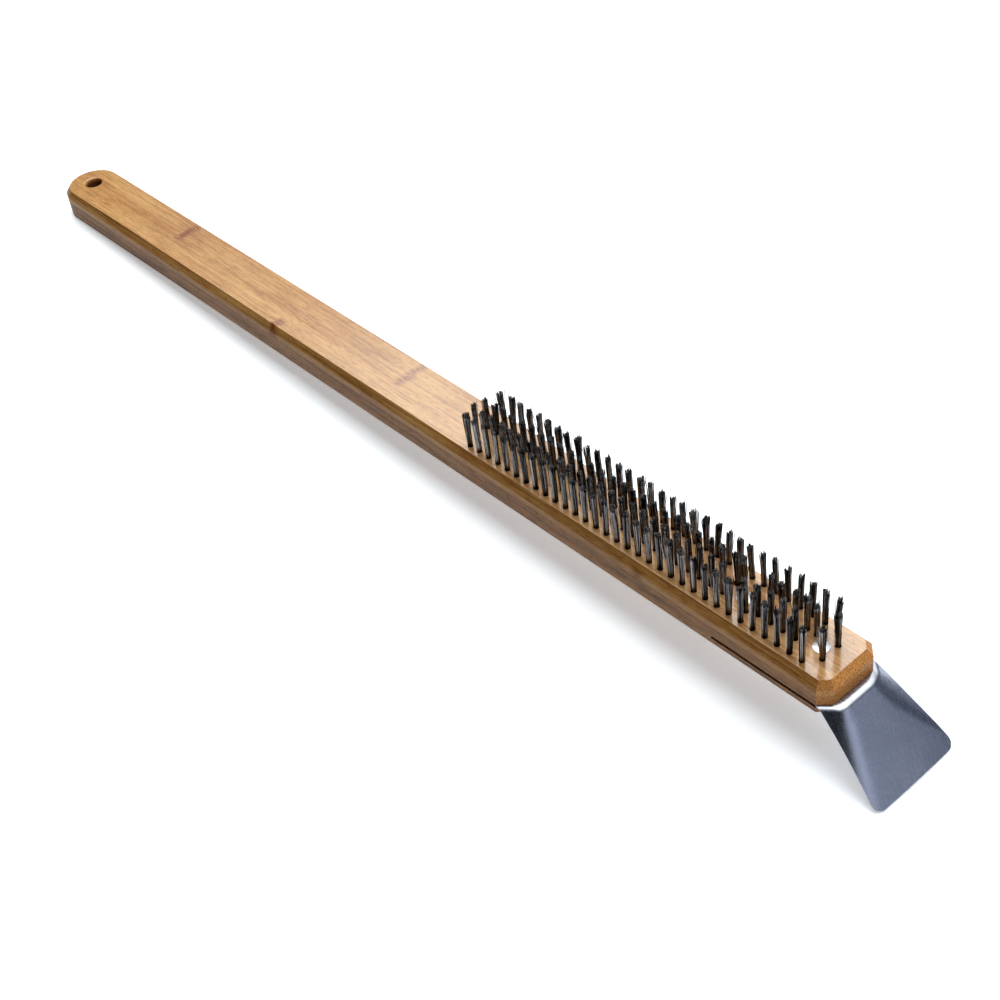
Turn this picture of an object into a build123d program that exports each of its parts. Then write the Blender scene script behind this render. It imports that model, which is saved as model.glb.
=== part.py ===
from build123d import *
import os
from math import cos, radians, sin, sqrt

# Long bamboo grill brush: three glued bamboo plies, staggered rows of steel wire tufts on the
# face, and a bent steel scraper blade riveted into a saw kerf at the head.
# Frame: origin at the centre of the hanging hole, half way through the wood. +X runs along the
# handle to the scraper, +Z comes out of the bristle side.

os.makedirs("parts", exist_ok=True)

# ---- Handle (mm) ----
HANDLE_WIDTH = 38.0
HEAD_END_X = 640.0  # hanging hole's centre to the end of the wood
FACE_Z = 9.0  # the face that holds the bristles
BACK_Z = -9.0
TAIL_RADIUS = HANDLE_WIDTH / 2
HEAD_CLIP = 5.6  # 45 degree cut on the head's two corners
CHAMFER_ACROSS = 3.0  # measured on the face
CHAMFER_DOWN = 3.8  # measured on the side
EDGE_ROUND = 0.45  # sanding of every outer edge of the wood
HANG_HOLE_RADIUS = 5.2
HANG_RIM_RADIUS = 1.5

# ---- Plies: each is two bamboo strips glued edge to edge, with the seams staggered ----
FACE_PLY = 7.3
CORE_PLY = 5.9
FACE_SEAM_Y = -4.3
CORE_SEAM_Y = 7.4
BACK_SEAM_Y = -8.6

# ---- Saw kerf for the blade, along the top of the back ply ----
KERF_HEIGHT = 1.7
KERF_DEPTH = 70.0  # on the centre line, from the head end
SAW_RADIUS = 67.0

# ---- Scraper blade, a folded sheet ----
SHEET = 1.5
BLADE_CLEARANCE = 0.1  # above and below the tang in its kerf
TANG_HALF_WIDTH = 15.0
TANG_DEPTH = 66.0
TANG_CORNER = 3.0
PAD_REACH = 4.3  # flat pad beyond the wood, up to the main fold
PAD_HALF_WIDTH = 11.7  # length of the main fold from the centre line
SHOULDER_BACK = 4.2  # the corner folds run back to here along the handle's sides
BEND = 44.2  # degrees below the handle
BLADE_SLOPE_LENGTH = 46.2  # from the main fold down to the edge
BLADE_HALF_TIP = 27.25
TIP_CORNER_RADIUS = 4.5
CREASE_SPREAD = 0.42  # how fast the two creases open out, across over along
FOLD_RADIUS = 3.5

# ---- Rivets ----
RIVET_X = {"front": HEAD_END_X - 18.3, "rear": HEAD_END_X - 63.3}
RIVET_SHANK_RADIUS = 2.0
RIVET_HEAD_RADIUS = 4.1
RIVET_RIM_HEIGHT = 0.3
RIVET_DOME_HEIGHT = 0.6
RIVET_TAIL_RADIUS = 3.0
WASHER_RADIUS = 4.5
WASHER_THICKNESS = 1.0
RIVET_CLEARANCE = 0.05

# ---- Wire tufts ----
PITCH = 7.18
COLUMNS = 32
ROW_Y = {"right_outer": -12.1, "right_inner": -4.05, "left_inner": 4.05, "left_outer": 12.1}
TUFT_HEIGHT = {"right_outer": 22.0, "right_inner": 19.8, "left_inner": 19.8, "left_outer": 20.4}
LAST_OUTER_X = HEAD_END_X - 19.3
END_PAIR_X = HEAD_END_X - 13.4
END_PAIR_Y = 5.4
END_PAIR_HEIGHT = 20.4
SECTION_COLUMNS = 8
HOLE_RADIUS = 1.55
HOLE_DEPTH = 10.0
TUFT_FOOT_RADIUS = 1.42
TUFT_TOP_RADIUS = 1.8
ANCHOR_WIDTH = 2.8
ANCHOR_THICKNESS = 0.5
ANCHOR_HEIGHT = 1.8

# ---- Worked out from the above ----
CORE_TOP_Z = FACE_Z - FACE_PLY
BACK_TOP_Z = CORE_TOP_Z - CORE_PLY
HOLE_FLOOR_Z = FACE_Z - HOLE_DEPTH
BLADE_TOP_Z = BACK_TOP_Z - BLADE_CLEARANCE
FOLD_X = HEAD_END_X + PAD_REACH


def row_points(row):
    """Centres of one row's tufts. The inner rows sit half a pitch towards the tail."""
    inner = row.endswith("inner")
    first_x = LAST_OUTER_X - (COLUMNS - 1) * PITCH - (PITCH / 2 if inner else 0)
    points = [(first_x + i * PITCH, ROW_Y[row]) for i in range(COLUMNS)]
    if row == "right_inner":
        beside_rear = points[COLUMNS - 6]
        points = points[: COLUMNS - 7] + points[COLUMNS - 5 : COLUMNS - 1]
        points.insert(COLUMNS - 7, (beside_rear[0] + 1.4, -6.1))  # stands clear of the rear rivet
    if row == "left_inner":
        clear_of_rear = (points[COLUMNS - 7][0] - 2.7, 5.1)
        clear_of_front = (points[COLUMNS - 1][0] - 1.5, ROW_Y[row])
        points = points[: COLUMNS - 7] + [clear_of_rear] + points[COLUMNS - 5 : COLUMNS - 1]
        points.append(clear_of_front)
    return points


TUFT_POINTS = {row: row_points(row) for row in ROW_Y}
END_PAIR = [(END_PAIR_X, -END_PAIR_Y), (END_PAIR_X, END_PAIR_Y)]
ALL_TUFTS = [point for row in TUFT_POINTS.values() for point in row] + END_PAIR


def handle_outline():
    """Plan outline of the wood: round tail, straight sides, clipped head corners."""
    half = HANDLE_WIDTH / 2
    with BuildLine() as outline:
        Line((0, -half), (HEAD_END_X - HEAD_CLIP, -half))
        Line((HEAD_END_X - HEAD_CLIP, -half), (HEAD_END_X, -half + HEAD_CLIP))
        Line((HEAD_END_X, -half + HEAD_CLIP), (HEAD_END_X, half - HEAD_CLIP))
        Line((HEAD_END_X, half - HEAD_CLIP), (HEAD_END_X - HEAD_CLIP, half))
        Line((HEAD_END_X - HEAD_CLIP, half), (0, half))
        ThreePointArc((0, half), (-TAIL_RADIUS, 0), (0, -half))
    make_face(outline.edges())


def round_edges(edges):
    """Sand the given edges, apart from the smooth joints where the tail's arc begins."""
    fillet(edges.filter_by(lambda e: abs(e.center().X) > EDGE_ROUND), EDGE_ROUND)


def keep_strip(y_low, y_high):
    """Leave only the strip of the ply in hand that lies between two values of Y."""
    with BuildSketch(Plane.XY.offset(BACK_Z)) as strip:
        with Locations((HEAD_END_X / 2, (y_low + y_high) / 2)):
            Rectangle(HEAD_END_X + 4 * TAIL_RADIUS, y_high - y_low)
    extrude(strip.sketch, amount=FACE_Z - BACK_Z, mode=Mode.INTERSECT)


def drill(points, radius, top, depth):
    """Blind or through holes of one radius, down from the height top."""
    with BuildSketch(Plane.XY.offset(top)) as holes:
        with Locations(*points):
            Circle(radius)
    extrude(holes.sketch, amount=-depth, mode=Mode.SUBTRACT)


def rivet_points():
    return [(x, 0) for x in RIVET_X.values()]


def write(piece, name):
    piece.part.label = name
    export_step(piece.part, f"parts/{name}.step")


# ---- Face ply: chamfered all round, drilled for the tufts ----
def face_strip(name, y_low, y_high):
    with BuildPart() as strip:
        with BuildSketch(Plane.XY.offset(CORE_TOP_Z)):
            handle_outline()
        extrude(amount=FACE_PLY)
        top = strip.faces().sort_by(Axis.Z)[-1]
        chamfer(top.edges(), length=CHAMFER_ACROSS, length2=CHAMFER_DOWN, reference=top)
        round_edges(strip.edges().filter_by(lambda e: e.center().Z > CORE_TOP_Z + EDGE_ROUND))
        drill([(0, 0)], HANG_HOLE_RADIUS, FACE_Z, FACE_PLY)
        rim = strip.edges().filter_by(GeomType.CIRCLE).sort_by(Axis.Z)
        fillet(rim.filter_by(lambda e: e.radius == HANG_HOLE_RADIUS)[-1], HANG_RIM_RADIUS)
        drill(ALL_TUFTS, HOLE_RADIUS, FACE_Z, FACE_PLY)
        drill(rivet_points(), RIVET_SHANK_RADIUS + RIVET_CLEARANCE, FACE_Z, FACE_PLY)
        keep_strip(y_low, y_high)
    write(strip, name)


face_strip("face_ply_right_strip", -HANDLE_WIDTH, FACE_SEAM_Y)
face_strip("face_ply_left_strip", FACE_SEAM_Y, HANDLE_WIDTH)


# ---- Core ply: the tuft holes end in it ----
def core_strip(name, y_low, y_high):
    with BuildPart() as strip:
        with BuildSketch(Plane.XY.offset(BACK_TOP_Z)):
            handle_outline()
        extrude(amount=CORE_PLY)
        round_edges(strip.edges().filter_by(Axis.Z))
        drill([(0, 0)], HANG_HOLE_RADIUS, CORE_TOP_Z, CORE_PLY)
        drill(ALL_TUFTS, HOLE_RADIUS, CORE_TOP_Z, CORE_TOP_Z - HOLE_FLOOR_Z)
        drill(rivet_points(), RIVET_SHANK_RADIUS + RIVET_CLEARANCE, CORE_TOP_Z, CORE_PLY)
        keep_strip(y_low, y_high)
    write(strip, name)


core_strip("core_ply_right_strip", -HANDLE_WIDTH, CORE_SEAM_Y)
core_strip("core_ply_left_strip", CORE_SEAM_Y, HANDLE_WIDTH)


# ---- Back ply: the kerf for the blade is cut along its upper face ----
def back_strip(name, y_low, y_high):
    with BuildPart() as strip:
        with BuildSketch(Plane.XY.offset(BACK_Z)):
            handle_outline()
        extrude(amount=BACK_TOP_Z - BACK_Z)
        round_edges(strip.edges().filter_by(lambda e: e.center().Z < BACK_TOP_Z - EDGE_ROUND))
        drill([(0, 0)], HANG_HOLE_RADIUS, BACK_TOP_Z, BACK_TOP_Z - BACK_Z)
        rim = strip.edges().filter_by(GeomType.CIRCLE).sort_by(Axis.Z)
        fillet(rim.filter_by(lambda e: e.radius == HANG_HOLE_RADIUS)[0], HANG_RIM_RADIUS)
        drill(rivet_points(), RIVET_SHANK_RADIUS + RIVET_CLEARANCE, BACK_TOP_Z, BACK_TOP_Z - BACK_Z)
        with BuildSketch(Plane.XY.offset(BACK_TOP_Z)):
            with Locations((HEAD_END_X - KERF_DEPTH + SAW_RADIUS, 0)):
                Circle(SAW_RADIUS)
            with Locations((HEAD_END_X, 0)):
                Rectangle(SAW_RADIUS, 2 * HANDLE_WIDTH)
        extrude(amount=-KERF_HEIGHT, mode=Mode.SUBTRACT)
        keep_strip(y_low, y_high)
    write(strip, name)


back_strip("back_ply_right_strip", -HANDLE_WIDTH, BACK_SEAM_Y)
back_strip("back_ply_left_strip", BACK_SEAM_Y, HANDLE_WIDTH)


# ---- Scraper blade ----
# Everything on it is measured in the plane of its sloping middle: along the slope and across.
BLADE_PLANE = Plane(
    origin=(FOLD_X, 0, BLADE_TOP_Z),
    x_dir=(cos(radians(BEND)), 0, -sin(radians(BEND))),
    z_dir=(sin(radians(BEND)), 0, cos(radians(BEND))),
)


def corner_plane(side):
    """The facet beside the middle, through its fold on the pad and its crease on the slope."""
    pad_corner = Vector(FOLD_X, side * PAD_HALF_WIDTH, BLADE_TOP_Z)
    shoulder = Vector(HEAD_END_X - SHOULDER_BACK, side * HANDLE_WIDTH / 2, BLADE_TOP_Z)
    fold = (shoulder - pad_corner).normalized()
    crease = BLADE_PLANE.x_dir + Vector(0, side * CREASE_SPREAD, 0)
    normal = crease.cross(fold).normalized() * side
    return Plane(origin=pad_corner, x_dir=fold, z_dir=normal)


def folded_body(depth, radius):
    """Solid under the sheet's upper surface, lowered by depth, with its folds rounded."""
    block = 60.0
    with BuildPart() as body:
        with BuildSketch(Plane.XY.offset(BLADE_TOP_Z - depth)):
            with Locations((HEAD_END_X - TANG_DEPTH / 2, 0)):
                Rectangle(TANG_DEPTH + 2 * block, 2 * HANDLE_WIDTH)
        extrude(amount=-block)
        for plane in (BLADE_PLANE, corner_plane(1), corner_plane(-1)):
            split(bisect_by=plane.offset(-depth), keep=Keep.BOTTOM)
        upper = body.faces().filter_by(lambda f: f.normal_at().Z > 0.1)
        folds = body.edges().filter_by(
            lambda e: sum(any(e.is_same(other) for other in f.edges()) for f in upper) == 2
        )
        fillet(folds, radius)
    return body.part


def blade_outline():
    """The sheet's outline seen square to its sloping middle."""
    slope = cos(radians(BEND))
    tang_end = -(TANG_DEPTH + PAD_REACH) * slope
    shoulder = -(HEAD_CLIP + PAD_REACH) * slope
    flare = -(SHOULDER_BACK + PAD_REACH) * slope
    half = HANDLE_WIDTH / 2
    upper_side = [
        (tang_end, TANG_HALF_WIDTH - TANG_CORNER),
        (tang_end + TANG_CORNER, TANG_HALF_WIDTH),
        (shoulder, TANG_HALF_WIDTH),
        (shoulder, half),
        (flare, half),
        (BLADE_SLOPE_LENGTH, BLADE_HALF_TIP),
    ]
    with BuildLine() as sheet:
        Polyline(*upper_side, *[(x, -y) for x, y in reversed(upper_side)], close=True)
    make_face(sheet.edges())


def scraper_blade():
    solid_outer = folded_body(0, FOLD_RADIUS)
    solid_inner = folded_body(SHEET, FOLD_RADIUS - SHEET)
    with BuildPart() as blade:
        add(solid_outer)
        add(solid_inner, mode=Mode.SUBTRACT)
        with BuildSketch(BLADE_PLANE) as outline:
            blade_outline()
            tips = outline.vertices().sort_by(Axis.X)[-2:]
            fillet(tips, TIP_CORNER_RADIUS)
        extrude(amount=2 * HANDLE_WIDTH, both=True, mode=Mode.INTERSECT)
        drill(rivet_points(), RIVET_SHANK_RADIUS + RIVET_CLEARANCE, BACK_TOP_Z, 2 * SHEET)
    write(blade, "scraper_blade")


scraper_blade()


# ---- Rivets, with low domed heads on the face and formed tails over washers on the back ----
def dome_shoulder(radius, height):
    """Point half way out on a shallow dome of that radius and height: out, and below its crown."""
    sphere = (radius**2 + height**2) / (2 * height)
    return radius / 2, sphere - sqrt(sphere**2 - radius**2 / 4)


def rivet(name, x):
    tail_z = BACK_Z - WASHER_THICKNESS
    head_top = FACE_Z + RIVET_RIM_HEIGHT + RIVET_DOME_HEIGHT
    tail_top = tail_z - RIVET_RIM_HEIGHT - RIVET_DOME_HEIGHT
    head_out, head_drop = dome_shoulder(RIVET_HEAD_RADIUS, RIVET_DOME_HEIGHT)
    tail_out, tail_drop = dome_shoulder(RIVET_TAIL_RADIUS, RIVET_DOME_HEIGHT)
    with BuildPart() as piece:
        with BuildSketch(Plane(origin=(x, 0, 0), x_dir=(1, 0, 0), z_dir=(0, -1, 0))):
            with BuildLine():
                ThreePointArc(
                    (0, head_top),
                    (head_out, head_top - head_drop),
                    (RIVET_HEAD_RADIUS, FACE_Z + RIVET_RIM_HEIGHT),
                )
                Polyline(
                    (RIVET_HEAD_RADIUS, FACE_Z + RIVET_RIM_HEIGHT),
                    (RIVET_HEAD_RADIUS, FACE_Z),
                    (RIVET_SHANK_RADIUS, FACE_Z),
                    (RIVET_SHANK_RADIUS, tail_z),
                    (RIVET_TAIL_RADIUS, tail_z),
                    (RIVET_TAIL_RADIUS, tail_z - RIVET_RIM_HEIGHT),
                )
                ThreePointArc(
                    (RIVET_TAIL_RADIUS, tail_z - RIVET_RIM_HEIGHT),
                    (tail_out, tail_top + tail_drop),
                    (0, tail_top),
                )
                Line((0, tail_top), (0, head_top))
            make_face()
        revolve(axis=Axis((x, 0, 0), (0, 0, 1)))
    write(piece, name)


def washer(name, x):
    with BuildPart() as piece:
        with BuildSketch(Plane.XY.offset(BACK_Z)):
            with Locations((x, 0)):
                Circle(WASHER_RADIUS)
                Circle(RIVET_SHANK_RADIUS + RIVET_CLEARANCE, mode=Mode.SUBTRACT)
        extrude(amount=-WASHER_THICKNESS)
    write(piece, name)


for place, rivet_x in RIVET_X.items():
    rivet(f"{place}_rivet", rivet_x)
    washer(f"{place}_rivet_washer", rivet_x)


# ---- Wire tufts: each stands on its anchor and opens a little towards its trimmed end ----
def tufts(name, points, height):
    foot_z = HOLE_FLOOR_Z + ANCHOR_HEIGHT
    length = FACE_Z + height - foot_z
    with BuildPart(Plane.XY.offset(foot_z)) as bundle:
        with Locations(*points):
            Cone(
                TUFT_FOOT_RADIUS,
                TUFT_TOP_RADIUS,
                length,
                align=(Align.CENTER, Align.CENTER, Align.MIN),
            )
    write(bundle, name)


for row, points in TUFT_POINTS.items():
    for section in range(0, len(points), SECTION_COLUMNS):
        members = points[section : section + SECTION_COLUMNS]
        tufts(f"{row}_tufts_{section // SECTION_COLUMNS + 1}", members, TUFT_HEIGHT[row])
tufts("end_pair_tufts", END_PAIR, END_PAIR_HEIGHT)


# ---- Anchors: flat steel slips across the floor of each hole, under the folded wires ----
def anchors(name, points):
    with BuildPart() as slips:
        with BuildSketch(Plane.XY.offset(HOLE_FLOOR_Z)):
            with Locations(*points):
                Rectangle(ANCHOR_WIDTH, ANCHOR_THICKNESS)
        extrude(amount=ANCHOR_HEIGHT)
    write(slips, name)


for row, points in TUFT_POINTS.items():
    anchors(f"{row}_tuft_anchors", points)
anchors("end_pair_tuft_anchors", END_PAIR)
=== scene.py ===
import math
import random

import bmesh
import bpy
from mathutils import Matrix, Vector

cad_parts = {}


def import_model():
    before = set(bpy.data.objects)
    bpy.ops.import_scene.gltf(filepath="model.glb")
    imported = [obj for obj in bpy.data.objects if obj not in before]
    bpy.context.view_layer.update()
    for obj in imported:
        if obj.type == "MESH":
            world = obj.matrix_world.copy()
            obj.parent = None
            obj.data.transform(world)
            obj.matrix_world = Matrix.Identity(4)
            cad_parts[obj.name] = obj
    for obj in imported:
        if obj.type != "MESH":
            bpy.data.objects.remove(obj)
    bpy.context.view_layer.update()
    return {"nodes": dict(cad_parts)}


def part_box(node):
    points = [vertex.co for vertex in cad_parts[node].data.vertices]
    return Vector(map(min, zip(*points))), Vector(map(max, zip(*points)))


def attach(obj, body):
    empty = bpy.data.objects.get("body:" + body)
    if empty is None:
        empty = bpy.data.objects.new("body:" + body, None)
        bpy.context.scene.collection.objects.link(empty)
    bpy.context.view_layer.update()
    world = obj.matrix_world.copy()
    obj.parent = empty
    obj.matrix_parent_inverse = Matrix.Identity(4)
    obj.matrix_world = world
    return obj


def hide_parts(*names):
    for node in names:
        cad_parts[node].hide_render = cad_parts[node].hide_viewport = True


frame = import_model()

# Looks of the grill cleaning brush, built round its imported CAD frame. The axes are the frame's own:
# +x from the hanging hole to the head, +y left, +z out of the bristle face. Lengths are in metres
# where no comment says mm.
MM = 0.001
NODES = frame["nodes"]

# ---- Places read from the frame ----
FACE_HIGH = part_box("face_ply_left_strip")[1]
FACE_Z = FACE_HIGH.z
HEAD_X = FACE_HIGH.x
HALF_WIDTH = FACE_HIGH.y
BACK_LOW, BACK_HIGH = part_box("back_ply_left_strip")
BACK_TOP_Z = BACK_HIGH.z
BACK_Z = BACK_LOW.z
TAIL_X = BACK_LOW.x


# =====================================================================
# Node and object helpers
# =====================================================================
class Tree:
    """A node tree with short calls for the few kinds of node that the materials use."""

    def __init__(self, tree):
        self.tree = tree

    def add(self, kind, **settings):
        made = self.tree.nodes.new(kind)
        for key, value in settings.items():
            setattr(made, key, value)
        return made

    def link(self, source, socket):
        self.tree.links.new(source, socket)

    def put(self, value, socket):
        """Link a socket, or set a plain value."""
        if isinstance(value, bpy.types.NodeSocket):
            self.link(value, socket)
        else:
            socket.default_value = value

    def math(self, operation, a, b=None):
        made = self.add("ShaderNodeMath", operation=operation)
        self.put(a, made.inputs[0])
        if b is not None:
            self.put(b, made.inputs[1])
        return made.outputs[0]

    def times(self, a, b):
        return self.math("MULTIPLY", a, b)

    def smooth(self, value, low, high, to_low=0.0, to_high=1.0):
        """Smooth step from low to high."""
        made = self.add("ShaderNodeMapRange", interpolation_type="SMOOTHSTEP")
        self.put(value, made.inputs["Value"])
        made.inputs["From Min"].default_value = low
        made.inputs["From Max"].default_value = high
        made.inputs["To Min"].default_value = to_low
        made.inputs["To Max"].default_value = to_high
        return made.outputs["Result"]

    def scaled(self, vector, scale, offset=(0, 0, 0)):
        made = self.add("ShaderNodeMapping")
        self.link(vector, made.inputs["Vector"])
        made.inputs["Scale"].default_value = scale
        made.inputs["Location"].default_value = offset
        return made.outputs[0]

    def noise(self, vector, detail=3.0, roughness=0.55, distortion=0.0):
        made = self.add("ShaderNodeTexNoise")
        self.link(vector, made.inputs["Vector"])
        made.inputs["Scale"].default_value = 1.0
        made.inputs["Detail"].default_value = detail
        made.inputs["Roughness"].default_value = roughness
        made.inputs["Distortion"].default_value = distortion
        return made.outputs["Fac"]

    def mix(self, fac, a, b, blend="MIX"):
        made = self.add("ShaderNodeMix", data_type="RGBA", blend_type=blend)
        self.put(fac, made.inputs[0])
        self.put(a, made.inputs[6])
        self.put(b, made.inputs[7])
        return made.outputs[2]

    def ramp(self, fac, stops):
        made = self.add("ShaderNodeValToRGB")
        self.link(fac, made.inputs[0])
        band = made.color_ramp
        while len(band.elements) < len(stops):
            band.elements.new(0.5)
        for element, (place, colour) in zip(band.elements, stops):
            element.position = place
            element.color = (*colour, 1.0)
        return made.outputs[0]

    def split(self, vector):
        made = self.add("ShaderNodeSeparateXYZ")
        self.link(vector, made.inputs[0])
        return made.outputs

    def bump(self, height, strength, distance):
        made = self.add("ShaderNodeBump")
        made.inputs["Strength"].default_value = strength
        made.inputs["Distance"].default_value = distance
        self.link(height, made.inputs["Height"])
        return made.outputs[0]


def srgb(r, g, b):
    """A colour given as 8-bit sRGB values, as the linear one that shaders take."""
    return tuple(
        (c / 255 / 12.92) if c <= 10 else ((c / 255 + 0.055) / 1.055) ** 2.4 for c in (r, g, b)
    )


def rgba(r, g, b):
    return (*srgb(r, g, b), 1.0)


def new_material(name):
    """A node material, with its tree and its shader."""
    material = bpy.data.materials.new(name)
    material.use_nodes = True
    tree = Tree(material.node_tree)
    shader = material.node_tree.nodes["Principled BSDF"]
    return material, tree, shader


def dress(obj, material):
    obj.data.materials.clear()
    obj.data.materials.append(material)


def new_object(name, data):
    """An object for a mesh or a camera, linked into the scene."""
    made = bpy.data.objects.new(name, data)
    bpy.context.scene.collection.objects.link(made)
    return made


# =====================================================================
# Bamboo
# =====================================================================
# Knuckles of the culm: distance from the hanging hole, across from, across to, and strength.
FACE_KNUCKLES = [
    (0.1035, -0.0040, 0.0165, 1.0),
    (0.2290, -0.0220, -0.0075, 1.0),
    (0.3270, -0.0070, 0.0185, 0.85),
    (0.5250, -0.0220, -0.0160, 0.9),
]
CORE_KNUCKLES = [(0.405, -0.022, -0.015, 0.7)]
KNUCKLE_WAVE = 0.0075  # how far a knuckle wanders along the board
KNUCKLE_COLOUR = (124, 56, 10)

# Noise per metre: along the board, across it and through it.
BROAD_SCALE = (9, 95, 95)
CLOUD_SCALE = (48, 190, 190)
FIBRE_SCALE = (26, 1050, 1050)
LINE_SCALE = (7, 640, 640)
PALE_SCALE = (38, 800, 800)
FLECK_SCALE = (200, 820, 820)
CHAMFER_STREAK_SCALE = (6, 420, 420)
WAVE_SCALE = (0, 130, 130)
DASH_SCALE = (210, 900, 900)
END_DOT_SCALE = (1800, 1800, 1800)

TAIL_END, TAIL_FADE = 0.12, 0.27  # the tail's own figure fades between these distances
# Painted shade on the chamfers, which face away from the light: its strength and its colour.
CHAMFER_SHADE = 0.42
CHAMFER_SHADE_COLOUR = (110, 66, 20)
CHAMFER_STREAK_COLOUR = (84, 52, 22)
# Painted shade on the square-cut sides: its tint.
FLANK_SHADE_COLOUR = (165, 133, 160)
# Painted sheen that lightens the face towards the head.
HEAD_SHEEN_COLOUR = (204, 200, 196)
# Painted shade in the hanging hole: its colour, and the radii and depths between which it fades out.
BORE_SHADE_COLOUR = (58, 44, 32)
BORE_INNER, BORE_OUTER = 0.0054, 0.0058  # radii between which the hole's dark wall fades out
BORE_LOW, BORE_HIGH = 0.0036, 0.0014  # depths below the face between which it fades out


def knuckle_mask(tree, where, place, knuckles, shift):
    """Ragged bands of short dark dashes across the grain, each inside its stretch of the width."""
    wave = tree.noise(tree.scaled(where, WAVE_SCALE, shift), 3.0, 0.7)
    wave = tree.times(tree.math("SUBTRACT", wave, 0.5), KNUCKLE_WAVE)
    dashes = tree.noise(tree.scaled(where, DASH_SCALE, shift), 3.0, 0.7)
    dashes = tree.smooth(dashes, 0.40, 0.56, 0.35, 1.0)
    total = None
    for at, low, high, strength in knuckles:
        along = tree.math("ADD", tree.math("SUBTRACT", place[0], at), wave)
        band = tree.times(
            tree.smooth(along, -0.0045, -0.0005, 0.0, strength),
            tree.smooth(along, 0.0005, 0.0060, 1.0, 0.0),
        )
        inside = tree.times(
            tree.smooth(place[1], low, low + 0.003),
            tree.smooth(place[1], high - 0.004, high, 1.0, 0.0),
        )
        band = tree.times(band, inside)
        total = band if total is None else tree.math("MAXIMUM", total, band)
    return tree.times(total, dashes)


def bamboo_grain(tree, where, place, shift, tones, streak):
    """Colour of the lengthwise grain, and the fibre noise that its bump follows."""
    low, mid, high, dark = [srgb(*t) for t in tones]
    broad = tree.noise(tree.scaled(where, BROAD_SCALE, shift), 4.0, 0.62, distortion=0.8)
    colour = tree.ramp(broad, [(0.36, low), (0.50, mid), (0.64, high)])

    # Soft mottling, its dark half stronger at the tail.
    cloud = tree.noise(tree.scaled(where, CLOUD_SCALE, shift), 4.0, 0.65)
    tail = tree.smooth(place[0], TAIL_END, TAIL_FADE, 1.0, 0.25)
    shady = tree.times(tree.smooth(cloud, 0.50, 0.66, 0.0, 0.45), tail)
    colour = tree.mix(shady, colour, (*low, 1))
    colour = tree.mix(tree.smooth(cloud, 0.34, 0.50, 0.45, 0.0), colour, (*high, 1))

    # Long fibres, thin dark lines, and pale gaps between them.
    fibre = tree.noise(tree.scaled(where, FIBRE_SCALE, shift), 3.0, 0.7)
    colour = tree.mix(tree.smooth(fibre, 0.50, 0.66, 0.0, streak), colour, (*dark, 1))
    line_shift = (shift[2], shift[0], shift[1])
    line = tree.noise(tree.scaled(where, LINE_SCALE, line_shift), 2.0, 0.8)
    colour = tree.mix(tree.smooth(line, 0.52, 0.58, 0.0, 0.36), colour, (*dark, 1))
    pale_shift = (shift[1], shift[2], shift[0])
    pale = tree.noise(tree.scaled(where, PALE_SCALE, pale_shift), 2.5)
    colour = tree.mix(tree.smooth(pale, 0.50, 0.68, 0.0, 0.60), colour, (*high, 1))

    # A fine fleck that is short along the grain, dark and pale, a little weaker at the tail.
    body = tree.smooth(place[0], TAIL_END, TAIL_FADE, 0.7, 1.0)
    fleck = tree.noise(tree.scaled(where, FLECK_SCALE, shift), 2.0, 0.65)
    flecks = tree.times(tree.smooth(fleck, 0.52, 0.68, 0.0, 0.42), body)
    colour = tree.mix(flecks, colour, (*dark, 1))
    flecks = tree.times(tree.smooth(fleck, 0.32, 0.46, 0.40, 0.0), body)
    colour = tree.mix(flecks, colour, (*high, 1))
    return colour, fibre


def bamboo_cuts(tree, where, place, shift, facing, colour, end_tones, side_shade):
    """The same wood where it is cut another way, told apart by which way the surface faces, with
    painted shade on the chamfers and sides and a painted sheen on the face.
    """
    # End grain, where it faces along the board: dots of the fibre bundles.
    along = tree.smooth(tree.math("ABSOLUTE", facing[0]), 0.40, 0.62)
    dots = tree.noise(tree.scaled(where, END_DOT_SCALE, shift), 1.0)
    end = tree.ramp(dots, [(0.36, srgb(*end_tones[0])), (0.66, srgb(*end_tones[1]))])
    colour = tree.mix(along, colour, end)

    # Painted shade darkens the chamfers, which face away from the light. They also have long dark
    # streaks in their grain.
    sideways = tree.math("ABSOLUTE", facing[1])
    slanted = tree.math("MAXIMUM", sideways, tree.times(facing[0], -1.0))
    chamfer = tree.times(
        tree.smooth(slanted, 0.50, 0.66),
        tree.smooth(facing[2], 0.35, 0.50),
    )
    shade = tree.times(chamfer, CHAMFER_SHADE)
    colour = tree.mix(shade, colour, rgba(*CHAMFER_SHADE_COLOUR), "MULTIPLY")
    streaks = tree.noise(tree.scaled(where, CHAMFER_STREAK_SCALE, shift), 3.0, 0.65)
    streaks = tree.times(tree.smooth(streaks, 0.47, 0.63, 0.0, 0.55), chamfer)
    colour = tree.mix(streaks, colour, rgba(*CHAMFER_STREAK_COLOUR))
    # Painted shade: a side that is cut square is darkened, and tinted a little purple.
    painted_flank_shade = tree.smooth(sideways, 0.86, 0.97, 0.0, side_shade)
    colour = tree.mix(painted_flank_shade, colour, rgba(*FLANK_SHADE_COLOUR), "MULTIPLY")

    # Painted sheen: the upward face is lightened towards the head, in place of the softbox's
    # reflection.
    painted_head_sheen = tree.times(
        tree.smooth(place[0], 0.20, 0.36, 0.0, 0.08),
        tree.smooth(facing[2], 0.90, 0.98),
    )
    return tree.mix(painted_head_sheen, colour, rgba(*HEAD_SHEEN_COLOUR))


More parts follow.
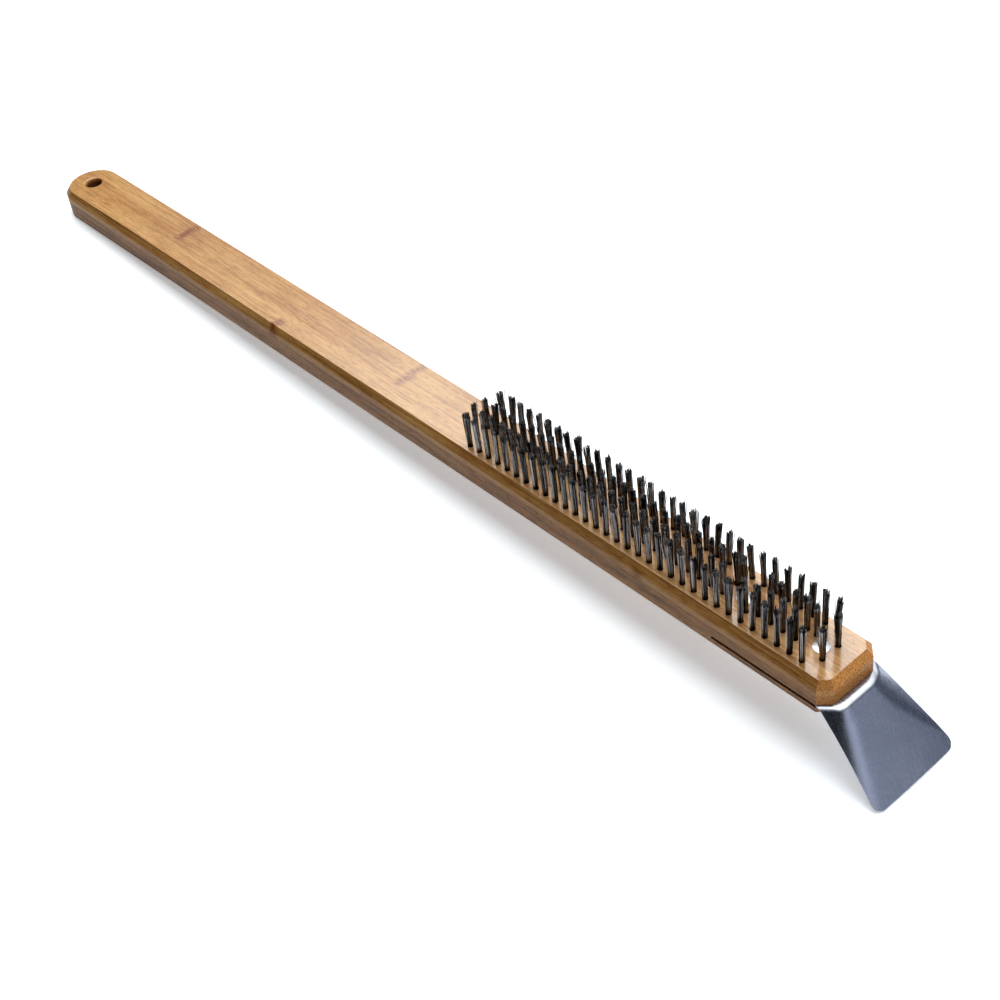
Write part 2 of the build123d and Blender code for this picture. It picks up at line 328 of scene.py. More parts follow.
def paint_bore_shade(tree, where, place, colour):
    """Painted shade: darkens the hanging hole's wall below its rounded rim."""
    radial = tree.add("ShaderNodeVectorMath", operation="LENGTH")
    tree.link(tree.scaled(where, (1, 1, 0)), radial.inputs[0])
    painted_bore_shade = tree.times(
        tree.smooth(radial.outputs["Value"], BORE_INNER, BORE_OUTER, 0.75, 0.0),
        tree.smooth(place[2], FACE_Z - BORE_LOW, FACE_Z - BORE_HIGH, 1.0, 0.0),
    )
    return tree.mix(painted_bore_shade, colour, rgba(*BORE_SHADE_COLOUR))


def bamboo(name, tones, seed, knuckles, end_tones, streak, side_shade=0.0):
    """Lacquered bamboo: golden ground, fine long fibres, darker knuckles, dotted end grain."""
    material, tree, shader = new_material(name)
    where = tree.add("ShaderNodeTexCoord").outputs["Object"]
    place = tree.split(where)
    facing = tree.split(tree.add("ShaderNodeNewGeometry").outputs["Normal"])
    shift = (seed * 0.37, seed * 0.11, seed * 0.23)

    colour, fibre = bamboo_grain(tree, where, place, shift, tones, streak)
    if knuckles:
        band = knuckle_mask(tree, where, place, knuckles, shift)
        colour = tree.mix(band, colour, rgba(*KNUCKLE_COLOUR))
    colour = bamboo_cuts(tree, where, place, shift, facing, colour, end_tones, side_shade)
    colour = paint_bore_shade(tree, where, place, colour)

    tree.link(colour, shader.inputs["Base Color"])
    shader.inputs["Roughness"].default_value = 0.55
    shader.inputs["Specular IOR Level"].default_value = 0.0
    # The lacquer is thin everywhere but on the face.
    tree.link(tree.smooth(facing[2], 0.80, 0.95, 0.28, 1.0), shader.inputs["Coat Weight"])
    shader.inputs["Coat Roughness"].default_value = 0.16
    shader.inputs["Coat IOR"].default_value = 1.65
    tree.link(tree.bump(fibre, 0.35, 0.00010), shader.inputs["Normal"])
    tree.link(tree.bump(fibre, 0.15, 0.00010), shader.inputs["Coat Normal"])
    return material


# =====================================================================
# Metals
# =====================================================================
def brushed_steel():
    """Cold-rolled sheet with a fine grain along the blade's slope."""
    material, tree, shader = new_material("brushed_blade_steel")
    where = tree.add("ShaderNodeTexCoord").outputs["Object"]
    grain = tree.noise(tree.scaled(where, (380, 4600, 380)), 3.0, 0.65)
    cloud = tree.noise(tree.scaled(where, (60, 60, 60)), 2.0)
    tone = tree.ramp(grain, [(0.30, srgb(150, 155, 168)), (0.70, srgb(186, 190, 200))])
    tone = tree.mix(tree.smooth(cloud, 0.3, 0.7, 0.0, 0.25), tone, rgba(140, 146, 160))
    tree.link(tone, shader.inputs["Base Color"])
    shader.inputs["Metallic"].default_value = 1.0
    tree.link(tree.smooth(grain, 0.25, 0.75, 0.18, 0.29), shader.inputs["Roughness"])
    tree.link(tree.bump(grain, 0.08, 0.00005), shader.inputs["Normal"])
    return material


def rivet_metal():
    """White metal with a fine satin pitting."""
    material, tree, shader = new_material("rivet_aluminium")
    where = tree.add("ShaderNodeTexCoord").outputs["Object"]
    pits = tree.noise(tree.scaled(where, (1400, 1400, 1400)), 3.0)
    tone = tree.ramp(pits, [(0.30, srgb(206, 208, 212)), (0.70, srgb(232, 233, 235))])
    tree.link(tone, shader.inputs["Base Color"])
    shader.inputs["Metallic"].default_value = 1.0
    tree.link(tree.smooth(pits, 0.3, 0.7, 0.36, 0.50), shader.inputs["Roughness"])
    tree.link(tree.bump(pits, 0.08, 0.00003), shader.inputs["Normal"])
    return material


def wire_steel(name, dark, light):
    """Drawn wire. Each wire has its own tone, kept in the mesh as the attribute wire_tone."""
    material, tree, shader = new_material(name)
    tone = tree.add("ShaderNodeAttribute", attribute_name="wire_tone").outputs["Fac"]
    where = tree.add("ShaderNodeTexCoord").outputs["Object"]
    height = tree.split(where)[2]
    scale = tree.noise(tree.scaled(where, (900, 900, 240)), 3.0, 0.6)
    colour = tree.mix(tone, rgba(*dark), rgba(*light))
    colour = tree.mix(tree.smooth(scale, 0.50, 0.75, 0.0, 0.5), colour, rgba(48, 38, 31))
    # Painted shade towards the foot, where the wires stand down in the hole and in each other's
    # shadow.
    painted_foot_shade = tree.smooth(height, FACE_Z + 0.3 * MM, FACE_Z + 3.6 * MM, 0.85, 0.0)
    colour = tree.mix(painted_foot_shade, colour, rgba(18, 15, 13))
    # The sheared ends that face up are darkened: painted shade that holds back their highlights from
    # overhead.
    up = tree.split(tree.add("ShaderNodeNewGeometry").outputs["Normal"])[2]
    colour = tree.mix(tree.smooth(up, 0.5, 0.8, 0.0, 0.82), colour, rgba(24, 21, 19))
    tree.link(colour, shader.inputs["Base Color"])
    shader.inputs["Metallic"].default_value = 1.0
    tree.link(tree.smooth(scale, 0.3, 0.7, 0.15, 0.26), shader.inputs["Roughness"])
    return material


# =====================================================================
# Wire tufts
# =====================================================================
WIRE_RADIUS = 0.152 * MM
WIRE_SPACING = 0.345 * MM
WIRE_SIDES = 6
WIRE_RINGS = 6
BUNDLE_RADIUS = 1.52 * MM
WIRE_START = 3.0 * MM  # how far down the hole the visible wires begin
FIRST_SEED = 1000
ROW_HEIGHT = 0.866  # between close-packed rows, in wire spacings

# A CAD tuft's foot: the points this near its lowest level, and this near each other.
FOOT_LAYER = 0.3 * MM
FOOT_REACH = 3.2 * MM

# Strands are groups of wires that lie together in a tuft.
STRANDS = 15
DULL_STRANDS = 6  # of these
DULL_TONES = (0.0, 0.08)
BRIGHT_TONES = (0.40, 1.0)
STRAND_PULL = 0.22  # how far a strand's wires close up towards their tips
STRAY_CHANCE = 0.11
FAN_MOST = 0.17  # the most that a tuft opens out towards its tips, as a share of its width

# Spreads of the random draws: in mm at the tips, in radians for the turn, and as a share for the
# tone.
TUFT_LEAN = (0.40, 0.35)  # along and across the board
TUFT_HEIGHT = 0.35
TUFT_TURN = 0.25
LEG_DRIFT = 0.20
LEG_OPENING = 0.11  # each half of a tuft leans out by about this
LEG_LEAST = 0.02  # and by no less than this
STRAND_DRIFT = 0.20
STRAND_SHORT = 0.85
WIRE_DRIFT = 0.09
STRAY_DRIFT = 0.8
WIRE_SHORT = 0.60
WIRE_BOW = 0.14
WIRE_TONE = 0.12
WIRE_EASE = 0.6  # a larger value makes a wire lean sooner
TIP_SPIKE = 0.75 * MM  # the longest wires stand this far above the trim height


def tuft_places(node):
    """Centre of each tuft's foot and the height of its tip, from the node's own mesh."""
    points = [v.co.copy() for v in NODES[node].data.vertices]
    low = min(p.z for p in points)
    high = max(p.z for p in points)
    feet = []
    for p in points:
        if p.z > low + FOOT_LAYER:
            continue
        for foot in feet:
            if (foot[0].xy - p.xy).length < FOOT_REACH:
                foot.append(p)
                break
        else:
            feet.append([p])
    places = []
    for foot in feet:
        x = (min(p.x for p in foot) + max(p.x for p in foot)) / 2
        y = (min(p.y for p in foot) + max(p.y for p in foot)) / 2
        places.append((x, y))
    return sorted(places), high


def bundle_section():
    """Close-packed wire centres inside one hole."""
    spots = []
    rows = int(BUNDLE_RADIUS / (WIRE_SPACING * ROW_HEIGHT)) + 1
    for j in range(-rows, rows + 1):
        y = j * WIRE_SPACING * ROW_HEIGHT
        for i in range(-rows - 1, rows + 2):
            x = (i + 0.5 * (j % 2)) * WIRE_SPACING
            if math.hypot(x, y) <= BUNDLE_RADIUS - WIRE_RADIUS:
                spots.append((x, y))
    return spots


SECTION = bundle_section()


def scatter(rng, along, across):
    """A random step along and across the board, from two spreads in mm."""
    return Vector((rng.gauss(0, along), rng.gauss(0, across), 0)) * MM


def tuft_strands(rng):
    """The strands of one tuft: place in the section, drift of the tip, how short, and tone."""
    strands = []
    for index in range(STRANDS):
        angle = rng.uniform(0, 2 * math.pi)
        reach = BUNDLE_RADIUS * math.sqrt(rng.random())
        middle = Vector((reach * math.cos(angle), reach * math.sin(angle), 0))
        drift = scatter(rng, STRAND_DRIFT, STRAND_DRIFT)
        short = abs(rng.gauss(0, STRAND_SHORT)) * MM
        tone = rng.uniform(*(DULL_TONES if index < DULL_STRANDS else BRIGHT_TONES))
        strands.append((middle, drift, short, tone))
    return strands


def tuft_legs(rng):
    """How the tips of a tuft's two halves drift apart, by side."""
    legs = {}
    for side in (-1, 1):
        along = rng.gauss(0, LEG_DRIFT)
        apart = max(LEG_LEAST, rng.gauss(LEG_OPENING, LEG_DRIFT))
        legs[side] = Vector((along, side * apart, 0)) * MM
    return legs


def tuft_wires(x, y, tip, rng):
    """Centre lines of one tuft's wires: a list of (points, tone)."""
    lean = scatter(rng, *TUFT_LEAN)
    height = tip - FACE_Z + rng.gauss(0, TUFT_HEIGHT) * MM
    turn = rng.gauss(0, TUFT_TURN)
    legs = tuft_legs(rng)
    spread = rng.uniform(0.0, FAN_MOST)
    strands = tuft_strands(rng)
    wires = []
    for sx, sy in SECTION:
        spot = Vector((sx, sy, 0))
        middle, drift, short, shade = min(strands, key=lambda s: (s[0] - spot).length)
        side = 1 if sy > 0 or (sy == 0 and rng.random() < 0.5) else -1
        bx = sx * math.cos(turn) - sy * math.sin(turn)
        by = sx * math.sin(turn) + sy * math.cos(turn)
        base = Vector((x + bx, y + by, FACE_Z - WIRE_START))
        fan = Vector((bx, by, 0)) * spread
        stray = scatter(rng, WIRE_DRIFT, WIRE_DRIFT)
        stray += drift + (middle - spot) * STRAND_PULL
        if rng.random() < STRAY_CHANCE:
            stray = scatter(rng, STRAY_DRIFT, STRAY_DRIFT) + fan
        drop = short + abs(rng.gauss(0, WIRE_SHORT)) * MM
        top = base + lean + legs[side] + fan + stray
        top.z = FACE_Z + height + TIP_SPIKE - drop
        bow = scatter(rng, WIRE_BOW, WIRE_BOW)
        line = []
        for k in range(WIRE_RINGS + 1):
            t = k / WIRE_RINGS
            ease = t * t * (1 + WIRE_EASE - WIRE_EASE * t)
            p = Vector((base.x, base.y, 0)).lerp(Vector((top.x, top.y, 0)), ease)
            p += bow * math.sin(math.pi * t)
            p.z = base.z + (top.z - base.z) * t
            line.append(p)
        wires.append((line, min(1.0, max(0.0, shade + rng.gauss(0, WIRE_TONE)))))
    return wires


def wire_mesh(name, wires):
    """One mesh of many round wires with flat cut ends."""
    turns = [2 * math.pi * i / WIRE_SIDES for i in range(WIRE_SIDES)]
    ring = [Vector((math.cos(turn), math.sin(turn), 0)) for turn in turns]
    verts, faces, smooth, tones = [], [], [], []
    for line, tone in wires:
        start = len(verts)
        for p in line:
            verts += [p + r * WIRE_RADIUS for r in ring]
        tones += [tone] * (len(line) * WIRE_SIDES)
        for k in range(len(line) - 1):
            a = start + k * WIRE_SIDES
            b = a + WIRE_SIDES
            for i in range(WIRE_SIDES):
                j = (i + 1) % WIRE_SIDES
                faces.append((a + i, a + j, b + j, b + i))
                smooth.append(True)
        last = start + (len(line) - 1) * WIRE_SIDES
        faces.append(tuple(range(start, start + WIRE_SIDES))[::-1])
        faces.append(tuple(range(last, last + WIRE_SIDES)))
        smooth += [False, False]
    mesh = bpy.data.meshes.new(name)
    mesh.from_pydata([tuple(v) for v in verts], [], faces)
    mesh.polygons.foreach_set("use_smooth", smooth)
    attribute = mesh.attributes.new("wire_tone", "FLOAT", "POINT")
    attribute.data.foreach_set("value", tones)
    mesh.update()
    return mesh


def make_tufts(material):
    """One piece of real wires for each CAD node of tufts."""
    for index, node in enumerate(sorted(n for n in NODES if "tufts" in n)):
        places, tip = tuft_places(node)
        rng = random.Random(FIRST_SEED + index)
        wires = []
        for x, y in places:
            wires += tuft_wires(x, y, tip, rng)
        piece = new_object(node + "_wires", wire_mesh(node + "_wires", wires))
        dress(piece, material)
        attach(piece, "root")
        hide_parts(node)


# =====================================================================
# Scraper blade
# =====================================================================
# A place on the sheet is (a, b), in mm. Both are measured in the plane of the sloping middle:
# a down the slope from the main fold, negative on the pad and tang behind it, and b across.
BEND = math.radians(44.2)
SHEET = 1.5
PAD_REACH = 4.3  # from the wood's end to the main fold
TANG_DEPTH = 66.0
TANG_HALF = 15.0
TANG_CORNER = 3.0
HEAD_CLIP = 5.6
PAD_HALF = 11.7
SHOULDER_BACK = 4.2
CREASE_SPREAD = 0.42  # how far the creases spread across, for each mm down the slope
SLOPE_LENGTH = 46.2
HALF_TIP = 27.25
TIP_RADIUS = 4.5
MAIN_FOLD_BLEND = 2.4
CROWN = 0.0011  # the middle bulges a little across
CROWN_FROM, CROWN_OVER = 2.0, 12.0  # it grows from this far behind the fold, over this length
EDGE_ROUND = 0.22
RIVET_HOLE = 2.05
CUTTER_SIDES = 48
CUTTER_DEPTH = 20.0

# The creases are softer down the slope: quickly at first, and then slowly. The left one is
# sharper again towards the tip.
RIGHT_CREASE, LEFT_CREASE = 2.2, 3.2  # how wide the rounding is at the fold
CREASE_FIRST, CREASE_FIRST_LENGTH = 0.16, 8.0
CREASE_THEN = 0.045
LEFT_CREASE_SHARPENS, LEFT_SHARPENS_FROM = 0.16, 16.0

# How finely the sheet is divided.
TANG_COLUMNS = 22
EDGE_COLUMNS = 14
TANG_ROWS = 40
FOLD_ROWS, FOLD_END = 40, 4.0
SLOPE_ROWS = 60
TIP_ROWS, TIP_ROW_REACH = 16, 1.3
RIM_STEPS = 4
SLOPE_STEP = 0.02  # for measuring how the surface tilts, in mm
MERGE = 0.002 * MM

ALONG = math.cos(BEND)  # of a, for each mm along the pad
SHOULDER = -(HEAD_CLIP + PAD_REACH) * ALONG
FLARE = -(SHOULDER_BACK + PAD_REACH) * ALONG
TANG_END = -(TANG_DEPTH + PAD_REACH) * ALONG
TIP_START = SLOPE_LENGTH - TIP_RADIUS * TIP_ROW_REACH
HALF_WOOD = HALF_WIDTH / MM
# The corner facets fall away across and rise along, so that they meet the middle on the crease.
SHOULDER_DROP = (SHOULDER_BACK + PAD_REACH) * math.sin(BEND)
ACROSS_FALL = SHOULDER_DROP / (HALF_WOOD - PAD_HALF - CREASE_SPREAD * FLARE)
ALONG_RISE = ACROSS_FALL * CREASE_SPREAD

# The plane of the sloping middle in the shared frame, with its origin on the main fold.
BLADE_ORIGIN = Vector((HEAD_X + PAD_REACH * MM, 0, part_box("scraper_blade")[1].z))
BLADE_ALONG = Vector((math.cos(BEND), 0, -math.sin(BEND)))
BLADE_ACROSS = Vector((0, 1, 0))
BLADE_OUTWARD = Vector((math.sin(BEND), 0, math.cos(BEND)))


def soft_min(a, b, blend):
    """The smaller of two heights, rounded off where they differ by less than blend."""
    h = max(blend - abs(a - b), 0.0) / blend
    return min(a, b) - h * h * blend * 0.25


def blade_height(a, b):
    """How far the upper surface stands off the plane of the middle."""
    down = max(a, 0.0)
    crease = RIGHT_CREASE if b < 0 else LEFT_CREASE
    crease += CREASE_FIRST * min(down, CREASE_FIRST_LENGTH) + CREASE_THEN * down
    if b > 0:
        crease -= LEFT_CREASE_SHARPENS * max(a - LEFT_SHARPENS_FROM, 0.0)
    facet = -ACROSS_FALL * (abs(b) - PAD_HALF) + ALONG_RISE * a
    middle = -CROWN * b * b * min(1.0, max(0.0, (a + CROWN_FROM) / CROWN_OVER))
    return soft_min(soft_min(middle, facet, crease), math.tan(BEND) * a, MAIN_FOLD_BLEND)


def blade_normal(a, b):
    """Direction in which the upper surface faces."""
    e = SLOPE_STEP
    da = (blade_height(a + e, b) - blade_height(a - e, b)) / (2 * e)
    db = (blade_height(a, b + e) - blade_height(a, b - e)) / (2 * e)
    return Vector((-da, -db, 1)).normalized()


def blade_point(a, b, depth):
    """The point at a depth in mm under the upper surface, in the shared frame."""
    flat = Vector((a, b, blade_height(a, b))) - blade_normal(a, b) * depth
    step = BLADE_ALONG * flat.x + BLADE_ACROSS * flat.y + BLADE_OUTWARD * flat.z
    return BLADE_ORIGIN + step * MM


def blade_half_width(a):
    """Half the sheet's width at a place on the slope, with the tip's corners rounded."""
    if a < SHOULDER:
        return TANG_HALF - max(0.0, TANG_END + TANG_CORNER - a)
    if a < FLARE:
        return HALF_WOOD
    grow = (HALF_TIP - HALF_WOOD) / (SLOPE_LENGTH - FLARE)
    tilt = math.atan(grow)
    centre_a = SLOPE_LENGTH - TIP_RADIUS
    centre_b = HALF_WOOD + grow * (centre_a - FLARE) - TIP_RADIUS / math.cos(tilt)
    if a <= centre_a - TIP_RADIUS * math.sin(tilt):
        return HALF_WOOD + grow * (a - FLARE)
    return centre_b + math.sqrt(max(TIP_RADIUS**2 - (a - centre_a) ** 2, 0.0))


def spaced(start, end, count):
    """Evenly spaced values from start to end, leaving out the start."""
    return [start + (end - start) * i / count for i in range(1, count + 1)]


def quarter_sine(count):
    """Values from 0 to 1 that crowd towards 1, leaving out the 0."""
    return [math.sin(i / count * math.pi / 2) for i in range(1, count + 1)]


def blade_pattern():
    """The sheet as a grid: its points (a, b), and its quads as indices into them."""
    # Columns run from side to side as fractions of the half width. Two lie on the tang's sides.
    tang_fraction = TANG_HALF / HALF_WOOD
    fractions = [tang_fraction * i / TANG_COLUMNS for i in range(TANG_COLUMNS + 1)]
    fractions += [tang_fraction + (1 - tang_fraction) * f for f in quarter_sine(EDGE_COLUMNS)]
    fractions = [-f for f in reversed(fractions[1:])] + fractions
    tang_columns = [i for i, f in enumerate(fractions) if abs(f) <= tang_fraction + 1e-9]

    tang_rows = [TANG_END, TANG_END + 1, TANG_END + 2, TANG_END + TANG_CORNER]
    tang_rows += spaced(TANG_END + TANG_CORNER, SHOULDER, TANG_ROWS)[:-1]
    rows = [SHOULDER, (SHOULDER + FLARE) / 2, FLARE]
    rows += spaced(FLARE, FOLD_END, FOLD_ROWS)
    rows += spaced(FOLD_END, TIP_START, SLOPE_ROWS)
    rows += [TIP_START + (SLOPE_LENGTH - TIP_START) * f for f in quarter_sine(TIP_ROWS)]

    pattern, quads = [], []
    index = {}
    for i, a in enumerate(tang_rows + rows):
        in_tang = i < len(tang_rows)
        half = blade_half_width(a)
        for j in (tang_columns if in_tang else range(len(fractions))):
            f = fractions[j] / tang_fraction if in_tang else fractions[j]
            index[i, j] = len(pattern)
            pattern.append((a, f * half))
    for i in range(len(tang_rows) + len(rows) - 1):
        for j in range(len(fractions) - 1):
            keys = [(i, j), (i + 1, j), (i + 1, j + 1), (i, j + 1)]
            if all(k in index for k in keys):
                quads.append([index[k] for k in keys])
    return pattern, quads


def border_loop(quads):
    """The points round the grid's border, in order."""
    edges = {edge for quad in quads for edge in zip(quad, quad[1:] + quad[:1])}
    follow = {p: q for p, q in edges if (q, p) not in edges}
    start = quads[0][0]
    loop = [start]
    while follow[loop[-1]] != start:
        loop.append(follow[loop[-1]])
    return loop


def inward_steps(pattern, loop):
    """For each border point, the unit step towards the inside of the pattern."""
    steps = {}
    for k, p in enumerate(loop):
        before, after = pattern[loop[k - 1]], pattern[loop[(k + 1) % len(loop)]]
        ta, tb = after[0] - before[0], after[1] - before[1]
        size = math.hypot(ta, tb) or 1.0
        steps[p] = (-tb / size, ta / size)
    return steps


def make_blade(material):
    """Both faces of the sheet from its pattern, and a rounded rim along the border."""
    pattern, quads = blade_pattern()
    loop = border_loop(quads)
    inward = inward_steps(pattern, loop)
    mesh = bmesh.new()

    def add_point(p, depth, inset):
        a, b = pattern[p]
        if p in inward:
            a += inward[p][0] * inset
            b += inward[p][1] * inset
        return mesh.verts.new(blade_point(a, b, depth))

    upper = [add_point(p, 0.0, EDGE_ROUND) for p in range(len(pattern))]
    lower = [add_point(p, SHEET, EDGE_ROUND) for p in range(len(pattern))]
    for quad in quads:
        mesh.faces.new([upper[p] for p in quad])
        mesh.faces.new([lower[p] for p in reversed(quad)])

    turns = [k / RIM_STEPS * math.pi / 2 for k in range(1, RIM_STEPS + 1)]
    rim = [(EDGE_ROUND * (1 - math.cos(t)), EDGE_ROUND * (1 - math.sin(t))) for t in turns]
    rim += [(SHEET - depth, inset) for depth, inset in reversed(rim)]
    rings = [[upper[p] for p in loop]]
    rings += [[add_point(p, depth, inset) for p in loop] for depth, inset in rim]
    rings.append([lower[p] for p in loop])
    for above, below in zip(rings, rings[1:]):
        for k in range(len(loop)):
            n = (k + 1) % len(loop)
            mesh.faces.new([above[n], above[k], below[k], below[n]])
    bmesh.ops.remove_doubles(mesh, verts=mesh.verts, dist=MERGE)
    bmesh.ops.recalc_face_normals(mesh, faces=mesh.faces)

    data = bpy.data.meshes.new("scraper_sheet")
    mesh.to_mesh(data)
    mesh.free()
    data.polygons.foreach_set("use_smooth", [True] * len(data.polygons))
    piece = new_object("scraper_sheet", data)
    punch_rivet_holes(piece)
    dress(piece, material)
    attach(piece, "root")
    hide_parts("scraper_blade")


def punch_rivet_holes(piece):
    """Cut the two rivet holes through the tang, where the rivets stand."""
    for name in ("front_rivet", "rear_rivet"):
        low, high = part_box(name)
        cutter = bmesh.new()
        bmesh.ops.create_cone(
            cutter,
            cap_ends=True,
            segments=CUTTER_SIDES,
            radius1=RIVET_HOLE * MM,
            radius2=RIVET_HOLE * MM,
            depth=CUTTER_DEPTH * MM,
            matrix=Matrix.Translation(((low.x + high.x) / 2, 0, BACK_TOP_Z)),
        )
        data = bpy.data.meshes.new("cutter")
        cutter.to_mesh(data)
        cutter.free()
        tool = new_object("cutter", data)
        cut = piece.modifiers.new("hole", "BOOLEAN")
        cut.object = tool
        cut.solver = "EXACT"
        bpy.context.view_layer.update()
        result = bpy.data.meshes.new_from_object(
            piece.evaluated_get(bpy.context.evaluated_depsgraph_get())
        )
        piece.modifiers.clear()
        piece.data = result
        bpy.data.objects.remove(tool)


# =====================================================================
# Stage: floor, lights and camera
# =====================================================================
# The softbox as a rectangle on a ceiling: low edge, high edge, and how soft each edge is,
# along the handle and across it, in units of the ceiling's height.
SOFTBOX_U = (-1.20, 0.38, 0.20, 0.32)
SOFTBOX_W = (-0.05, 1.05, 0.20, 0.20)
SOFTBOX = 5.4
SOFTBOX_BLUE = 0.985
# It dims across: from this place, over this much either side, to this share of its brightness.
FAR_HALF = (0.56, 0.12, 0.42)
LEVEL = 0.02  # directions lower than this count as this high
AMBIENT = (0.022, 0.024, 0.030, 1)
# Round soft patches: azimuth, elevation, inner and outer radius in degrees, and brightness.
LOBES = [
    (20, 30, 5, 30, (0.46, 0.50, 0.61)),
    (8, 40, 3, 15, (0.42, 0.45, 0.52)),
    (82, 5, 4, 22, (0.26, 0.28, 0.34)),
    (56, 16, 4, 24, (0.085, 0.10, 0.14)),
    (160, 25, 8, 34, (0.22, 0.22, 0.22)),
    (153.4, 32, 0.5, 3.5, (1.0, 1.0, 1.0)),
    (143, 39, 3, 10, (1.1, 1.1, 1.1)),
    (125, 47, 2, 9, (3.0, 3.0, 3.0)),
    (100, 27, 4, 16, (2.6, 2.6, 2.6)),
]

FLOOR_GLOW = 0.42  # lifts the shadow, as a clipped white backdrop does
FLOOR_REACH = 6.0
FLOOR_CENTRE = 0.35  # from the tail towards the blade
FLOOR_GAP = 0.00005  # keeps the floor just clear of the brush

CAMERA_FROM_HEAD = (0.2999, -0.3965, 0.5539)  # from the middle of the head's end, on the face
CAMERA_VIEW = (-0.60045, 0.44109, -0.66701)
CAMERA_UP = (-0.44472, 0.50904, 0.73696)
LENS = 59.88
SENSOR_WIDTH = 36.0


def floor():
    """Pale floor through the two places where the brush rests: the blade's edge and the tail."""
    tip = min((v.co.copy() for v in NODES["scraper_blade"].data.vertices), key=lambda p: p.z)
    tail = Vector((TAIL_X, 0, BACK_Z))
    along = Vector((tip.x - tail.x, 0, tip.z - tail.z)).normalized()
    up = Vector((-along.z, 0, along.x))
    centre = tail + along * FLOOR_CENTRE - up * FLOOR_GAP
    run = along * FLOOR_REACH
    side = Vector((0, FLOOR_REACH, 0))
    corners = [centre - run - side, centre + run - side, centre + run + side, centre - run + side]
    mesh = bpy.data.meshes.new("floor")
    mesh.from_pydata([tuple(c) for c in corners], [], [(0, 1, 2, 3)])
    obj = new_object("floor", mesh)
    material, tree, shader = new_material("pale_floor")
    where = tree.add("ShaderNodeTexCoord").outputs["Object"]
    speck = tree.noise(tree.scaled(where, (60, 60, 60)), 2.0)
    tone = tree.ramp(speck, [(0.3, srgb(236, 244, 250)), (0.7, srgb(239, 247, 253))])
    tree.link(tone, shader.inputs["Base Color"])
    shader.inputs["Roughness"].default_value = 0.9
    shader.inputs["Specular IOR Level"].default_value = 0.1
    shader.inputs["Emission Color"].default_value = (1, 1, 1, 1)
    path = tree.add("ShaderNodeLightPath")
    seen = tree.math("MAXIMUM", path.outputs["Is Camera Ray"], path.outputs["Is Glossy Ray"])
    tree.link(tree.times(seen, FLOOR_GLOW), shader.inputs["Emission Strength"])
    dress(obj, material)


def world():
    """Studio surroundings by direction: a big softbox overhead, small patches, dark elsewhere."""
    made = bpy.data.worlds.new("studio")
    bpy.context.scene.world = made
    made.use_nodes = True
    tree = Tree(made.node_tree)
    background = made.node_tree.nodes["Background"]
    direction = tree.add("ShaderNodeTexCoord").outputs["Generated"]
    x, y, z = tree.split(direction)
    height = tree.math("MAXIMUM", z, LEVEL)
    u = tree.math("DIVIDE", x, height)
    w = tree.math("DIVIDE", y, height)

    def window(value, low, high, soft_low, soft_high):
        return tree.times(
            tree.smooth(value, low - soft_low, low + soft_low),
            tree.smooth(value, high - soft_high, high + soft_high, 1.0, 0.0),
        )

    def lobe(azimuth, elevation, inner, outer):
        """Round soft patch of the surroundings, angles in degrees."""
        az, el = math.radians(azimuth), math.radians(elevation)
        centre = (math.cos(el) * math.cos(az), math.cos(el) * math.sin(az), math.sin(el))
        dot = tree.add("ShaderNodeVectorMath", operation="DOT_PRODUCT")
        tree.link(direction, dot.inputs[0])
        dot.inputs[1].default_value = centre
        low, high = math.cos(math.radians(outer)), math.cos(math.radians(inner))
        return tree.smooth(dot.outputs["Value"], low, high)

    box = tree.times(window(u, *SOFTBOX_U), window(w, *SOFTBOX_W))
    middle, soft, share = FAR_HALF
    box = tree.times(box, tree.smooth(w, middle - soft, middle + soft, 1.0, share))
    colour = tree.mix(box, AMBIENT, (SOFTBOX, SOFTBOX, SOFTBOX * SOFTBOX_BLUE, 1))
    for azimuth, elevation, inner, outer, light in LOBES:
        patch = tree.mix(lobe(azimuth, elevation, inner, outer), (0, 0, 0, 1), (*light, 1))
        colour = tree.mix(1.0, colour, patch, "ADD")
    # The camera sees plain white.
    seen = tree.add("ShaderNodeLightPath").outputs["Is Camera Ray"]
    colour = tree.mix(seen, colour, (1.0, 1.0, 1.0, 1))
    tree.link(colour, background.inputs["Color"])
    background.inputs["Strength"].default_value = 1.0


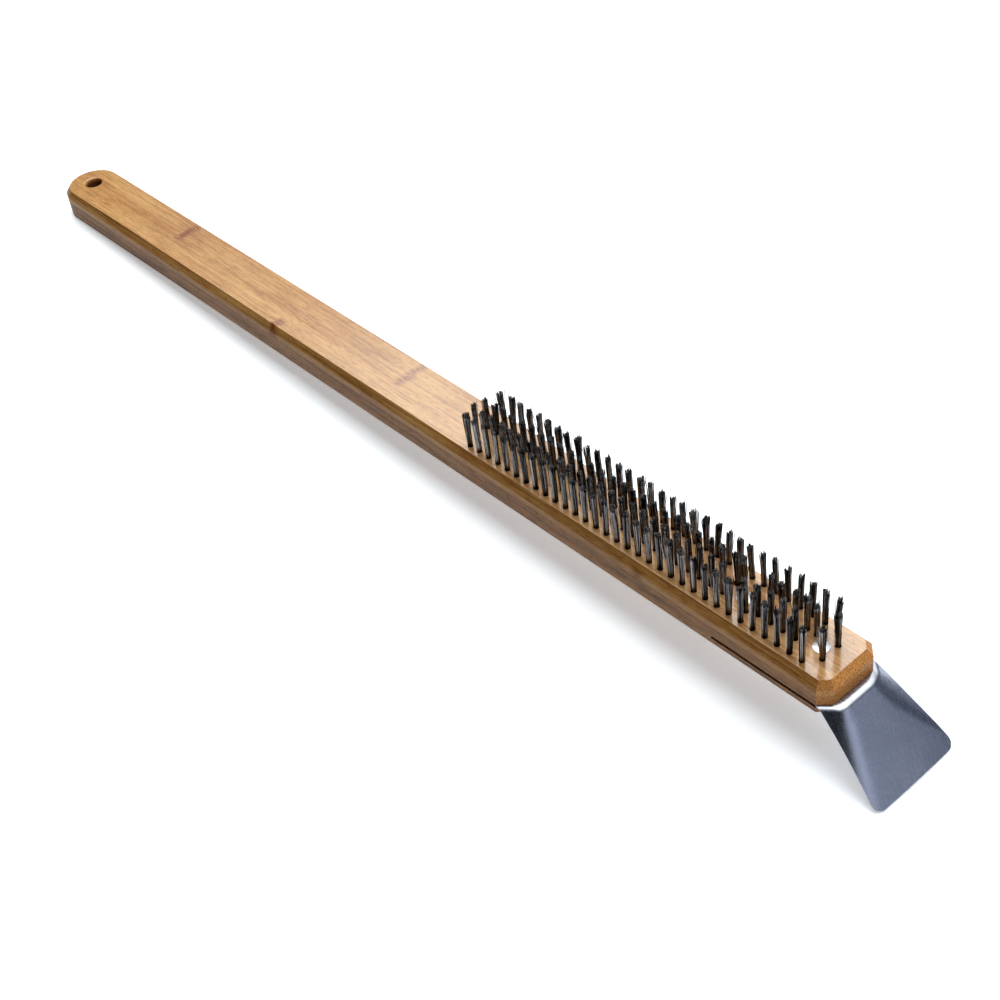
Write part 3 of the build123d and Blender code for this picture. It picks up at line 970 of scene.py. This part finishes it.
def camera():
    """The viewpoint, placed from the head's end."""
    data = bpy.data.cameras.new("camera")
    data.sensor_width = SENSOR_WIDTH
    data.lens = LENS
    data.clip_start = 0.01
    data.clip_end = 50
    obj = new_object("camera", data)
    view = Vector(CAMERA_VIEW).normalized()
    up = Vector(CAMERA_UP)
    up = (up - view * up.dot(view)).normalized()
    right = view.cross(up)
    turn = Matrix((right, up, -view)).transposed().to_4x4()
    place = Vector((HEAD_X, 0, FACE_Z)) + Vector(CAMERA_FROM_HEAD)
    obj.matrix_world = Matrix.Translation(place) @ turn
    bpy.context.scene.camera = obj


# =====================================================================
# Build
# =====================================================================
camera()
floor()
world()
bpy.context.scene.view_settings.view_transform = "Standard"

# Grain tones are low, middle, high and dark. End grain is ground and dots.
FAR_TONES = [(170, 115, 55), (188, 136, 72), (206, 158, 93), (122, 72, 28)]
NEAR_TONES = [(176, 122, 60), (194, 143, 78), (210, 163, 98), (130, 80, 34)]
CORE_TONES = [(126, 83, 45), (149, 100, 58), (165, 116, 71), (72, 44, 21)]
BACK_TONES = [(132, 87, 48), (156, 107, 64), (171, 122, 76), (80, 49, 23)]
FACE_END = ((228, 162, 90), (160, 100, 48))
INNER_END = ((208, 140, 74), (150, 94, 46))
FACE_STREAK, INNER_STREAK = 0.42, 0.75
FACE_SIDE_SHADE = 0.45

far = bamboo(
    "bamboo_far_strip", FAR_TONES, 1, FACE_KNUCKLES, FACE_END, FACE_STREAK, FACE_SIDE_SHADE
)
near = bamboo(
    "bamboo_near_strip", NEAR_TONES, 4, FACE_KNUCKLES, FACE_END, FACE_STREAK, FACE_SIDE_SHADE
)
core = bamboo("bamboo_core", CORE_TONES, 7, CORE_KNUCKLES, INNER_END, INNER_STREAK)
back = bamboo("bamboo_back", BACK_TONES, 9, (), INNER_END, INNER_STREAK)
dress(NODES["face_ply_left_strip"], far)
dress(NODES["face_ply_right_strip"], near)
for side in ("left", "right"):
    dress(NODES[f"core_ply_{side}_strip"], core)
    dress(NODES[f"back_ply_{side}_strip"], back)

make_blade(brushed_steel())
aluminium = rivet_metal()
anchor_metal = wire_steel("anchor_steel", (120, 120, 124), (170, 170, 174))
for name, obj in NODES.items():
    if "rivet" in name:
        dress(obj, aluminium)
    if "anchors" in name:
        dress(obj, anchor_metal)

make_tufts(wire_steel("bristle_steel", (14, 13, 13), (166, 160, 158)))
